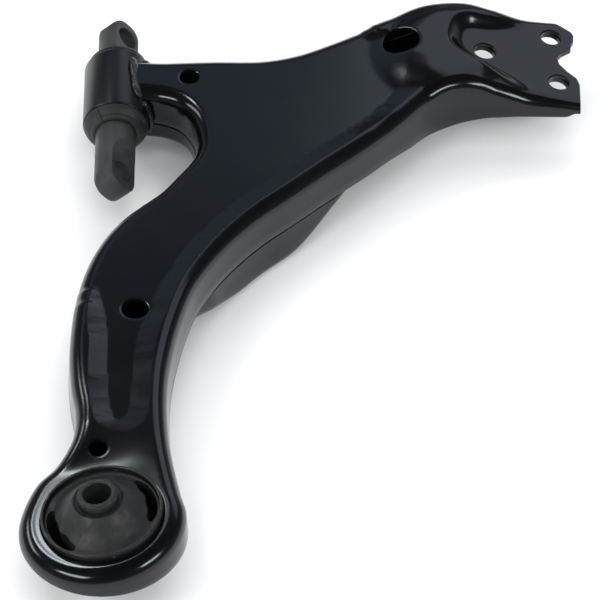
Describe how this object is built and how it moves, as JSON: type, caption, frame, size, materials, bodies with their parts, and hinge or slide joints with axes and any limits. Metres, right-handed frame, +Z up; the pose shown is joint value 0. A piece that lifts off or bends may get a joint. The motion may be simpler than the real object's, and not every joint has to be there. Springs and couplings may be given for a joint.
{
  "type": "automotive control arm",
  "caption": "Lower control arm: two pressed shells, a front bush on a flat-ended pin, a rear eye bush with a steel sleeve, and a drilled ball joint seat.",
  "frame": {"origin": "middle of the base of the whole arm's box", "axes": "+Z up, +X outboard to the ball joint seat, +Y along the front bush pin, away from the rear bush"},
  "size_m": [0.3348, 0.4852, 0.0729],
  "materials": {
    "black_paint": "gloss",
    "weld_bead": "satin",
    "bush_steel": "satin",
    "sleeve_steel": "matt",
    "forged_steel": "matt",
    "bush_rubber": "matt"
  },
  "bodies": {
    "arm": {"upper_shell": "black_paint", "lower_shell": "black_paint", "front_tube": "black_paint", "front_bush_sleeve": "bush_steel", "front_bush_rubber": "bush_rubber", "tube_weld_top": "weld_bead", "tube_weld_near": "weld_bead", "tube_weld_far": "weld_bead", "tube_weld_bottom": "weld_bead", "rear_eye_collar": "black_paint", "rear_bush_outer_shell": "bush_steel", "rear_bush_rubber": "bush_rubber"},
    "front_pin": {"front_bush_pin": "forged_steel"},
    "rear_sleeve": {"rear_bush_inner_sleeve": "sleeve_steel"}
  },
  "joints": [
    {"name": "front_pin_twist", "type": "hinge", "parent": "arm", "child": "front_pin", "pos_m": [-0.11979, 0.17256, 0.035], "axis": [0, 1, 0], "range_deg": [-20, 20], "stiffness_Nm_per_rad": 70},
    {"name": "rear_sleeve_tilt", "type": "hinge", "parent": "arm", "child": "rear_sleeve", "pos_m": [-0.11878, -0.19394, 0.04408], "axis": [0, 1, 0], "range_deg": [-8, 8], "stiffness_Nm_per_rad": 120, "deforming": ["rear_bush_rubber"]}
  ]
}
